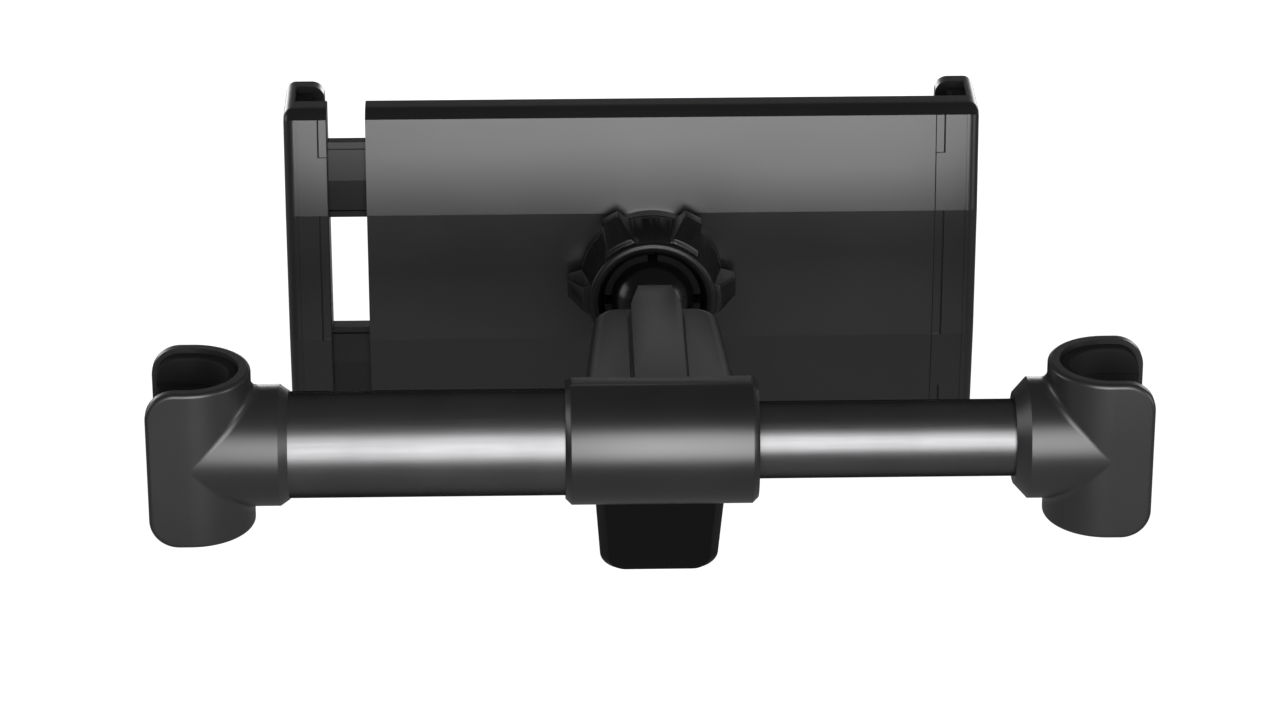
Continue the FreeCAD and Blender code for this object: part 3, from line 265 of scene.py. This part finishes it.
def coloured(nodes, links, shader, value, dark, pale):
    """Base colour between a dark and a pale shade. A Mix node keeps its colours at sockets 6 and 7."""
    item = nodes.new("ShaderNodeMix")
    item.data_type = "RGBA"
    item.inputs[6].default_value = (*dark, 1)
    item.inputs[7].default_value = (*pale, 1)
    links.new(ranged(nodes, links, value, 0.0, 1.0), item.inputs[0])
    links.new(item.outputs[2], shader.inputs["Base Color"])


def polished(nodes, links, shader, value, low, high, start=0.3, end=0.7):
    """Roughness that wanders between two levels."""
    links.new(ranged(nodes, links, value, low, high, start, end), shader.inputs["Roughness"])


def bumped(nodes, links, shader, height, strength, distance):
    item = nodes.new("ShaderNodeBump")
    item.inputs["Strength"].default_value = strength
    item.inputs["Distance"].default_value = distance
    links.new(height, item.inputs["Height"])
    links.new(item.outputs["Normal"], shader.inputs["Normal"])


# Materials, one by one

MOTTLE_SCALE = 45.0
MOTTLE_DARK, MOTTLE_PALE = 0.86, 1.12
POLISH_SPREAD = 0.015
GRAIN_SCALE = 2600.0
GRAIN_DEPTH = 0.00002


def plastic(name, shade, rough, level, grain=0.25):
    """Moulded plastic: a fine spark-eroded grain, faint flow mottling and uneven polish."""
    material, nodes, links, shader = new_material(name)
    vector = place_in(nodes, links)
    broad = noise(nodes, links, vector, MOTTLE_SCALE, 3.0)
    fine = noise(nodes, links, vector, GRAIN_SCALE, 2.0)
    dark = tuple(c * MOTTLE_DARK for c in shade)
    pale = tuple(c * MOTTLE_PALE for c in shade)
    coloured(nodes, links, shader, broad, dark, pale)
    polished(nodes, links, shader, broad, rough - POLISH_SPREAD, rough + POLISH_SPREAD, 0.2, 0.8)
    shader.inputs["Specular IOR Level"].default_value = level
    bumped(nodes, links, shader, fine, grain, GRAIN_DEPTH)
    return material


DRAW_LINE_STRETCH = (0.02, 1, 1)
DRAW_LINE_SCALE = 3200.0
DRAW_LINE_DEPTH = 0.00001


def anodised(name):
    """Black anodised tube: fine draw lines along the tube and a satin sheen."""
    material, nodes, links, shader = new_material(name)
    lines = noise(nodes, links, place_in(nodes, links, DRAW_LINE_STRETCH), DRAW_LINE_SCALE, 3.0, 0.6)
    cloud = noise(nodes, links, place_in(nodes, links), 60.0, 3.0)
    coloured(nodes, links, shader, cloud, (0.155, 0.155, 0.158), (0.175, 0.175, 0.178))
    shader.inputs["Metallic"].default_value = 1.0
    shader.inputs["Specular Tint"].default_value = (0.05, 0.05, 0.05, 1)
    polished(nodes, links, shader, lines, 0.34, 0.39)
    bumped(nodes, links, shader, lines, 0.12, DRAW_LINE_DEPTH)
    return material


def rubber(name):
    """Matt black rubber with a fine moulded texture."""
    material, nodes, links, shader = new_material(name)
    vector = place_in(nodes, links)
    broad = noise(nodes, links, vector, 120.0)
    fine = noise(nodes, links, vector, 5200.0, 2.0)
    coloured(nodes, links, shader, broad, (0.005, 0.005, 0.005), (0.009, 0.009, 0.009))
    polished(nodes, links, shader, broad, 0.66, 0.76)
    shader.inputs["Specular IOR Level"].default_value = 0.25
    bumped(nodes, links, shader, fine, 0.4, 0.00003)
    return material


def black_steel(name):
    """Blackened steel with small dull marks, for the screws and pins."""
    material, nodes, links, shader = new_material(name)
    marks = noise(nodes, links, place_in(nodes, links), 900.0, 5.0, 0.65)
    coloured(nodes, links, shader, marks, (0.09, 0.09, 0.095), (0.16, 0.16, 0.165))
    shader.inputs["Metallic"].default_value = 1.0
    polished(nodes, links, shader, marks, 0.3, 0.45)
    bumped(nodes, links, shader, marks, 0.15, 0.00002)
    return material


def spring_wire(name):
    """Bright drawn wire."""
    material, nodes, links, shader = new_material(name)
    marks = noise(nodes, links, place_in(nodes, links), 1500.0)
    coloured(nodes, links, shader, marks, (0.42, 0.42, 0.44), (0.6, 0.6, 0.62))
    shader.inputs["Metallic"].default_value = 1.0
    polished(nodes, links, shader, marks, 0.28, 0.38)
    bumped(nodes, links, shader, marks, 0.1, 0.00001)
    return material


# Each plastic has its shade, roughness and specular level.
MATERIALS = {
    "tube": anodised("tube_black_anodised"),
    "hook_plastic": plastic("hook_plastic", (0.016, 0.016, 0.0164), 0.35, 0.8),
    "collar_plastic": plastic("collar_plastic", (0.007, 0.007, 0.0073), 0.34, 0.95),
    "lever_plastic": plastic("lever_plastic", (0.003, 0.003, 0.003), 0.42, 0.12),
    "cup_plastic": plastic("cup_plastic", (0.006, 0.006, 0.006), 0.35, 0.3),
    "ball_plastic": plastic("ball_plastic", (0.004, 0.004, 0.004), 0.25, 0.4, grain=0.08),
    "nut_plastic": plastic("nut_plastic", (0.004, 0.004, 0.0042), 0.36, 0.42),
    "cradle_plastic": plastic("cradle_plastic", (0.004, 0.004, 0.0042), 0.295, 1.0, grain=0.1),
    "jaw_plastic": plastic("jaw_plastic", (0.004, 0.004, 0.0042), 0.295, 1.0, grain=0.1),
    "rail_plastic": plastic("rail_plastic", (0.005, 0.005, 0.0052), 0.32, 0.6),
    "bush_plastic": plastic("bush_plastic", (0.02, 0.02, 0.021), 0.4, 0.4),
    "rubber": rubber("rubber"),
    "screw_steel": black_steel("screw_steel"),
    "spring_steel": spring_wire("spring_steel"),
}
SLOTS = {row["node"]: row["material_slot"] for row in frame["record"]["subparts"]}


def dress(item, slot):
    item.data.materials.clear()
    item.data.materials.append(MATERIALS[slot])


def dress_cad_nodes():
    for name, item in frame["nodes"].items():
        dress(item, SLOTS[name])


# Pieces that stand for CAD nodes, or lie on them

def body_of_node(node):
    for body, members in frame["record"]["behaviour"]["bodies"].items():
        if node in members:
            return body
    raise ValueError(node)


def new_object(name, mesh, slot):
    item = bpy.data.objects.new(name, mesh)
    scene.collection.objects.link(item)
    dress(item, slot)
    return item


def riding_piece(name, mesh, body, slot, *nodes):
    """A piece that moves with one body, and stands for the CAD nodes that are named."""
    item = new_object(name, mesh, slot)
    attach(item, body)
    if nodes:
        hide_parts(*nodes)
    return item


SHARP_ANGLE = math.radians(35)


def shaped(name, points, faces):
    """A mesh from points in metres, shaded smooth with its sharp edges kept."""
    mesh = bpy.data.meshes.new(name)
    mesh.from_pydata(points, [], faces)
    mesh.validate()
    work = bmesh.new()
    work.from_mesh(mesh)
    bmesh.ops.recalc_face_normals(work, faces=work.faces)
    work.to_mesh(mesh)
    work.free()
    for face in mesh.polygons:
        face.use_smooth = True
    mesh.set_sharp_from_angle(angle=SHARP_ANGLE)
    return mesh


def skinned(rings, points, faces):
    """Join rings of equal length into a closed tube, and add it to the points and faces."""
    first = len(points)
    count = len(rings[0])
    for ring in rings:
        points.extend(ring)
    for row in range(len(rings) - 1):
        low = first + row * count
        for index in range(count):
            after = (index + 1) % count
            faces.append((low + index, low + after, low + count + after, low + count + index))
    faces.append(tuple(range(first, first + count)))
    last = first + (len(rings) - 1) * count
    faces.append(tuple(range(last, last + count)))


def arc(centre, radius, start, end, steps):
    """Points of a plane arc, from one angle in degrees to another."""
    turns = [math.radians(start + (end - start) * step / steps) for step in range(steps + 1)]
    return [(centre[0] + radius * math.cos(a), centre[1] + radius * math.sin(a)) for a in turns]


# Springs, as coils

COIL_TURNS = 15
COIL_STEPS = 16
WIRE_SIDES = 7
WIRE_RADIUS = 0.26 * MM


def coil(start, run, radius, middle_y, height):
    """The rings of one coil of wire, wound along X."""
    rings = []
    for step in range(COIL_TURNS * COIL_STEPS + 1):
        a = math.tau * step / COIL_STEPS
        x = start + run * step / (COIL_TURNS * COIL_STEPS)
        ring = []
        for index in range(WIRE_SIDES):
            b = math.tau * index / WIRE_SIDES
            reach = radius + WIRE_RADIUS * math.cos(b)
            ring.append((x + WIRE_RADIUS * math.sin(b), middle_y + reach * math.cos(a),
                         height + reach * math.sin(a)))
        rings.append(ring)
    return rings


def coil_springs(side):
    """The two springs of a jaw, stretched between the cradle and the jaw."""
    node = side + "_springs"
    low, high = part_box(node)
    radius = (high[1] - low[1]) / 2 - WIRE_RADIUS
    middle_y = (low[1] + high[1]) / 2
    level = high[2] - (high[1] - low[1]) / 2
    run = high[0] - low[0] - 2 * WIRE_RADIUS
    points, faces = [], []
    for height in (level, -level):
        skinned(coil(low[0] + WIRE_RADIUS, run, radius, middle_y, height), points, faces)
    name = side + "_coil_springs"
    item = new_object(name, shaped(name, points, faces), SLOTS[node])
    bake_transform(item)
    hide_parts(node)


# Cradle pad

PAD_CORNER = 5.0 * MM
PAD_CORNER_STEPS = 7
PAD_EDGE = 0.35 * MM
PAD_EDGE_BEND = 0.3
RIB_HEIGHT = 0.4 * MM
RIB_SUNK = 0.05 * MM
RIB_WIDTH = 1.3 * MM
RIB_STEPS = 8
RIB_PITCH = 4.0 * MM
RIB_MARGIN = 5.0 * MM
# A rib's end: shares of its half length, and of its full section there
RIB_END = ((1.0, 0.1), (0.995, 0.6), (0.988, 0.9), (0.98, 1.0))


def rounded_rectangle(centre_x, half_x, half_z, y, inset):
    """A ring round the pad at a depth, drawn in from its edge."""
    loop = []
    for index, (side_x, side_z) in enumerate(((1, 1), (-1, 1), (-1, -1), (1, -1))):
        spot = (side_x * (half_x - PAD_CORNER), side_z * (half_z - PAD_CORNER))
        loop += arc(spot, PAD_CORNER - inset, 90 * index, 90 * index + 90, PAD_CORNER_STEPS)
    return [(centre_x + x, y, z) for x, z in loop]


def cradle_pad():
    """The pad under the tablet: a rounded plate with low rounded ribs along it."""
    low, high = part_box("cradle_pad")
    centre_x = (low[0] + high[0]) / 2
    half_x, half_z = (high[0] - low[0]) / 2, (high[2] - low[2]) / 2
    top = high[1] - RIB_HEIGHT
    bend = PAD_EDGE_BEND * PAD_EDGE
    levels = ((low[1], 0), (top - PAD_EDGE, 0), (top - bend, bend), (top, PAD_EDGE))
    points, faces = [], []
    skinned([rounded_rectangle(centre_x, half_x, half_z, y, inset) for y, inset in levels], points, faces)
    count = int((2 * half_z - 2 * RIB_MARGIN) / RIB_PITCH) + 1
    reach = half_x - RIB_MARGIN
    stations = [(-share * reach, size) for share, size in RIB_END]
    stations += [(share * reach, size) for share, size in reversed(RIB_END)]
    section = arc((0, 0), 1, 0, 180, RIB_STEPS)
    for row in range(count):
        z = (row - (count - 1) / 2) * RIB_PITCH
        rib = []
        for x, size in stations:
            rib.append([(centre_x + x, top - RIB_SUNK + (RIB_HEIGHT + RIB_SUNK) * size * up,
                         z + RIB_WIDTH / 2 * size * across) for across, up in section])
        skinned(rib, points, faces)
    riding_piece("cradle_pad_ribbed", shaped("cradle_pad_ribbed", points, faces), "cradle", "rubber",
                 "cradle_pad")


# Jaw pads

JAW_PAD_BASE = 1.2 * MM
JAW_PAD_WAVES = 4
JAW_PAD_STEPS = JAW_PAD_WAVES * 8
JAW_PAD_GROOVE = 0.4 * MM
# A pad's end: the distance from it and the inset there, in millimetres
JAW_PAD_END = ((0.0, 0.45), (0.15, 0.2), (0.5, 0.0))


def jaw_pad(side):
    """The rubber wedge in a jaw, with scalloped ribs along its sloping face."""
    node = side + "_jaw_pad"
    low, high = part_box(node)
    wall, inward = (low[0], 1) if side == "left" else (high[0], -1)
    full = high[0] - low[0]

    def section(z, inset):
        loop = [(wall, low[1] + inset), (wall, high[1] - inset)]
        for step in range(JAW_PAD_STEPS, -1, -1):
            share = step / JAW_PAD_STEPS
            thick = JAW_PAD_BASE + (full - JAW_PAD_BASE) * share
            wave = abs(math.sin(math.pi * JAW_PAD_WAVES * share))
            thick -= JAW_PAD_GROOVE * (1 - wave) + inset
            y = low[1] + inset + (high[1] - low[1] - 2 * inset) * share
            loop.append((wall + inward * thick, y))
        return [(x, y, z) for x, y in loop]

    rings = [section(low[2] + z * MM, inset * MM) for z, inset in JAW_PAD_END]
    rings += [section(high[2] - z * MM, inset * MM) for z, inset in reversed(JAW_PAD_END)]
    points, faces = [], []
    skinned(rings, points, faces)
    name = node + "_ribbed"
    riding_piece(name, shaped(name, points, faces), side + "_jaw", "rubber", node)


# Hook liners

LINER_BORE = 7.0 * MM
LINER_EDGE = 0.6 * MM
LINER_EDGE_STEPS = 5
LINER_BACK_EDGE = 0.15 * MM
LINER_CORNER = 4.5 * MM
LINER_GROOVE = 0.35 * MM
LINER_GROOVE_WIDTH = 1.3 * MM
LINER_GROOVE_HEIGHTS = (-9.0, -4.5, 0.0, 4.5, 9.0)
# A groove's outline: shares of its width and of its depth
LINER_GROOVE_SHAPE = ((0.5, 0), (0.28, 1), (-0.28, 1), (-0.5, 0))
# A liner's end: the distance from it and the inset there, in millimetres
LINER_END = ((0.0, 0.5), (0.2, 0.2), (0.6, 0.0))
LINER_STRAIGHT_STEPS = 8
LINER_TURN_STEPS = 28


def liner_outer():
    """The outer radius of both liners, from the left one's box."""
    low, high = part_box("left_hook_pad")
    return (high[1] - low[1]) / 2


def liner_section(half, inset):
    """The liner's section as radius and height: rounded at the post, with grooves across it."""
    outer = liner_outer() - inset
    inner = LINER_BORE + inset
    half -= inset
    back = LINER_BACK_EDGE
    bend = LINER_EDGE
    loop = [(outer - back, -half), (outer, -half + back), (outer, half - back), (outer - back, half)]
    loop += arc((inner + bend, half - bend), bend, 90, 180, LINER_EDGE_STEPS)
    for spot in reversed(LINER_GROOVE_HEIGHTS):
        for shift, depth in LINER_GROOVE_SHAPE:
            loop.append((inner + depth * LINER_GROOVE, spot * MM + shift * LINER_GROOVE_WIDTH))
    loop += arc((inner + bend, -half + bend), bend, 180, 270, LINER_EDGE_STEPS)
    return loop


def liner_stations(reach):
    """Places along the liner from end to end: x, the way outwards, and the inset in millimetres."""
    straight = [(-reach + along * MM, inset) for along, inset in LINER_END]
    start = straight[-1][0]
    for step in range(1, LINER_STRAIGHT_STEPS + 1):
        straight.append((start * (1 - step / LINER_STRAIGHT_STEPS), 0.0))
    stations = [(x, (0, 1), inset) for x, inset in straight]
    for step in range(1, LINER_TURN_STEPS):
        a = math.pi / 2 - math.pi * step / LINER_TURN_STEPS
        stations.append((0, (math.cos(a), math.sin(a)), 0.0))
    stations += [(x, (0, -1), inset) for x, inset in reversed(straight)]
    return stations


def hook_liner(side):
    """The rubber liner of a hook: a grooved strip bent round the post."""
    node = side + "_hook_pad"
    low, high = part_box(node)
    radius = (high[1] - low[1]) / 2
    half = (high[2] - low[2]) / 2
    reach = high[0] - low[0] - radius
    centre, facing = (high[0] - radius, 1) if side == "left" else (low[0] + radius, -1)

    def height_at(x):
        over = max(0.0, LINER_CORNER - reach - x)
        return half - LINER_CORNER + math.sqrt(max(0.0, LINER_CORNER ** 2 - over ** 2))

    rings = []
    for x, (out_x, out_y), inset in liner_stations(reach):
        rings.append([(centre + facing * (x + r * out_x), r * out_y, z)
                      for r, z in liner_section(height_at(x), inset * MM)])
    points, faces = [], []
    skinned(rings, points, faces)
    name = node + "_moulded"
    riding_piece(name, shaped(name, points, faces), body_of_node(node), "rubber", node)


# Lock nut's bead

NUT_BEAD_RADIUS = 11.65 * MM
NUT_BEAD_WIDE = 1.1 * MM
NUT_BEAD_DEEP = 0.95 * MM
NUT_BEAD_AHEAD = 2.85 * MM
NUT_BEAD_STEPS = 96
NUT_BEAD_SIDES = 14


def nut_bead():
    """The rounded bead round the lock nut's mouth."""
    points, faces = [], []
    for step in range(NUT_BEAD_STEPS):
        a = math.tau * step / NUT_BEAD_STEPS
        for index in range(NUT_BEAD_SIDES):
            b = math.tau * index / NUT_BEAD_SIDES
            reach = NUT_BEAD_RADIUS + NUT_BEAD_WIDE * math.cos(b)
            y = BALL.y - NUT_BEAD_AHEAD - NUT_BEAD_DEEP * math.sin(b)
            points.append((BALL.x + reach * math.cos(a), y, BALL.z + reach * math.sin(a)))
    for step in range(NUT_BEAD_STEPS):
        low = step * NUT_BEAD_SIDES
        high = (step + 1) % NUT_BEAD_STEPS * NUT_BEAD_SIDES
        for index in range(NUT_BEAD_SIDES):
            after = (index + 1) % NUT_BEAD_SIDES
            faces.append((low + index, low + after, high + after, high + index))
    riding_piece("nut_bead", shaped("nut_bead", points, faces), "lock_nut", "nut_plastic")


# Painted shade lines for the grooves on the jaws' backs

FACET_DEPTH = 9.5 * MM
FACET_RISE = 2.2 * MM
FACET_FOLD = 13.65 * MM
FACET_TOP = 33.4 * MM
NOTCH_WIDTH = 2.0 * MM
NOTCH_DEPTH = 0.45 * MM
NOTCH_START = 25.6 * MM
GROOVE_SHADE_WIDTH = 0.3 * MM
SEAM_SHADE_WIDTH = 0.22 * MM
SHADE_STRIP_PROUD = 0.04 * MM
SHADE_STRIP_END = 0.02 * MM


def facet_y(z):
    """Where the cradle's faceted back lies at a height."""
    over = max(0.0, abs(z) - FACET_FOLD)
    return BALL.y + FACET_DEPTH + FACET_RISE * over / (FACET_TOP - FACET_FOLD)


def groove_shade_strip(near, far, bottom, top, sunk, points, faces):
    """A thin dark strip of painted shade between two x on a jaw's back, from one height to another."""
    rings = []
    for z in (bottom + SHADE_STRIP_END, top - SHADE_STRIP_END):
        y = facet_y(z) + sunk
        rings.append([(near, y - SHADE_STRIP_PROUD, z), (far, y - SHADE_STRIP_PROUD, z),
                      (far, y + SHADE_STRIP_PROUD, z), (near, y + SHADE_STRIP_PROUD, z)])
    skinned(rings, points, faces)


def groove_shade_lines(side):
    """Painted shade: dark matt strips for the shade at the foot of the steps in a jaw's back, and for the
    shade of a seam along its inner edge.
    """
    low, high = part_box(side + "_jaw")
    edge, outward = (high[0], -1) if side == "left" else (low[0], 1)
    foot = edge + outward * NOTCH_WIDTH
    points, faces = [], []
    # Each strip is painted shade, standing in for the shade in a groove that the jaw's shape doesn't cut.
    notches = ((-FACET_FOLD, FACET_FOLD), (NOTCH_START, FACET_TOP), (-FACET_TOP, -NOTCH_START))
    for bottom, top in notches:
        groove_shade_strip(foot - outward * GROOVE_SHADE_WIDTH, foot, bottom, top, NOTCH_DEPTH, points, faces)
        groove_shade_strip(edge, edge + outward * SEAM_SHADE_WIDTH, bottom, top, NOTCH_DEPTH, points, faces)
    for bottom, top in ((FACET_FOLD, NOTCH_START), (-NOTCH_START, -FACET_FOLD)):
        groove_shade_strip(edge, edge + outward * SEAM_SHADE_WIDTH, bottom, top, 0.0, points, faces)
    name = side + "_jaw_groove_shade"
    riding_piece(name, shaped(name, points, faces), side + "_jaw", "rubber")


# Softened edges

BEVEL_ANGLE = math.radians(28)
FLAT_ANGLE = math.radians(1.0)
SAME_PLACE = 1e-7
NUT_ROUND = 0.35 * MM
MOULDING_ROUND = 0.3 * MM


def softened(node, width, hardened=False):
    """The node's own shape with its hard edges broken by a small radius."""
    mesh = frame["nodes"][node].data.copy()
    work = bmesh.new()
    work.from_mesh(mesh)
    bmesh.ops.remove_doubles(work, verts=work.verts, dist=SAME_PLACE)
    bmesh.ops.dissolve_limit(work, angle_limit=FLAT_ANGLE, verts=work.verts, edges=work.edges)
    work.to_mesh(mesh)
    work.free()
    item = riding_piece(node + "_moulded", mesh, body_of_node(node), SLOTS[node], node)
    bevel = item.modifiers.new("edge_round", "BEVEL")
    bevel.width = width
    bevel.segments = 2
    bevel.limit_method = "ANGLE"
    bevel.angle_limit = BEVEL_ANGLE
    bevel.harden_normals = hardened
    for face in mesh.polygons:
        face.use_smooth = True


def make_pieces():
    coil_springs("left")
    coil_springs("right")
    cradle_pad()
    for side in ("left", "right"):
        jaw_pad(side)
        hook_liner(side)
        groove_shade_lines(side)
    softened("lock_nut", NUT_ROUND, hardened=True)
    softened("collar_arm", MOULDING_ROUND)
    softened("lock_lever", MOULDING_ROUND)
    nut_bead()


make_camera()
make_lights()
make_world()
make_floor()
dress_cad_nodes()
make_pieces()
